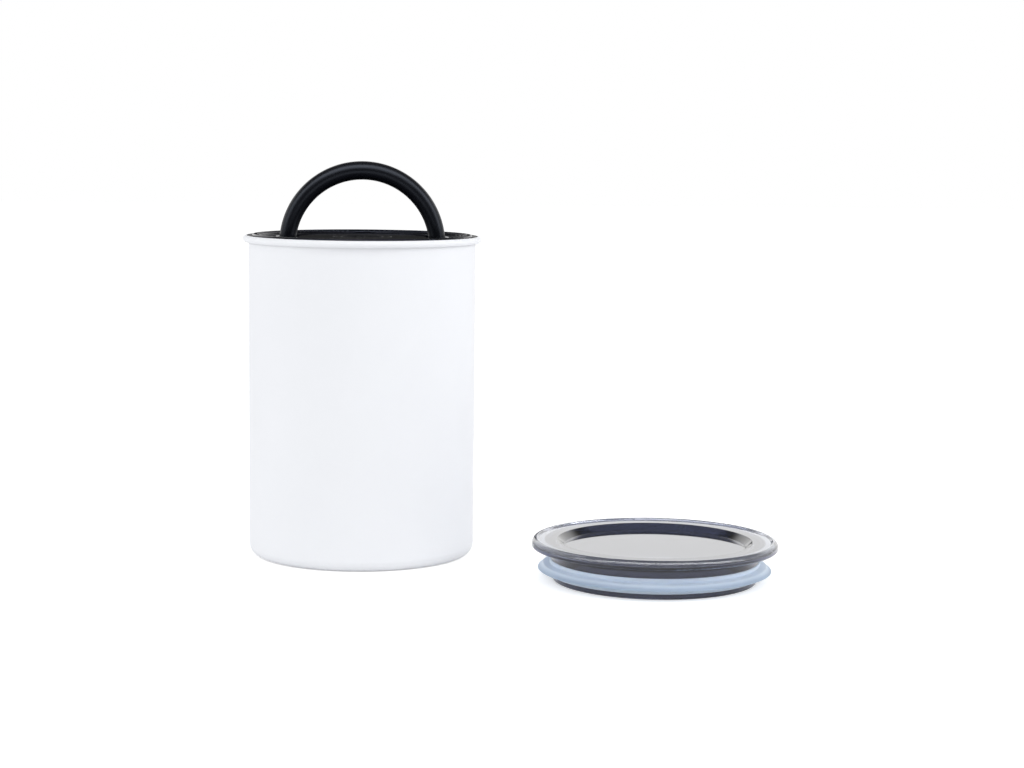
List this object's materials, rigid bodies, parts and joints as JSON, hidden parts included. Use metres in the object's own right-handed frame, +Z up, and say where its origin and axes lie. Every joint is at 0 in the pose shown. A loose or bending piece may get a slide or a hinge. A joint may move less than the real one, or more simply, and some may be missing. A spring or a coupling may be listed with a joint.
{
  "type": "coffee canister with valve",
  "caption": "Cylindrical coated steel food canister with a sliding vented inner lid, a folding arch handle and a loose clear outer lid with a soft seal.",
  "frame": {"origin": "centre of the canister's foot ring, on the surface that it stands on", "axes": "+Z up along the canister's axis, -Y the front, +X towards the side where the loose outer lid lies"},
  "size_m": [0.2834, 0.2082, 0.2163],
  "materials": {
    "white_coat": "satin white powder coat outside, bare brushed steel inside",
    "black_plastic": "fine moulded satin black",
    "handle_plastic": "fine moulded satin black",
    "black_seal": "matte black silicone",
    "valve_rubber": "matte grey silicone",
    "smoke_clear": "clear smoke-grey moulded plastic, polished",
    "pale_seal": "translucent bluish-white silicone"
  },
  "bodies": {
    "canister": {"canister_wall": "white_coat", "base_pan": "white_coat"},
    "plunger": {"plunger_top": "black_plastic", "plunger_base": "black_plastic", "wiper_gasket": "black_seal", "valve_body": "black_plastic", "valve_cap": "black_plastic"},
    "handle": {"handle": "handle_plastic"},
    "valve_disc": {"valve_disc": "valve_rubber"},
    "outer_lid": {"lid_dish": "smoke_clear", "lid_gasket": "pale_seal"}
  },
  "joints": [
    {"name": "plunger_slide", "type": "slide", "parent": "canister", "child": "plunger", "axis": [0, 0, 1], "range_m": [-0.14, 0.12]},
    {"name": "handle_fold", "type": "hinge", "parent": "plunger", "child": "handle", "pos_m": [0, 0, 0.1703], "axis": [-1, 0, 0], "range_deg": [0, 90]},
    {"name": "valve_lift", "type": "slide", "parent": "plunger", "child": "valve_disc", "axis": [0, 0, 1], "range_m": [0, 0.0015]},
    {"name": "lid_lift", "type": "slide", "parent": "canister", "child": "outer_lid", "axis": [0, 0, 1], "range_m": [0, 0.18]}
  ]
}
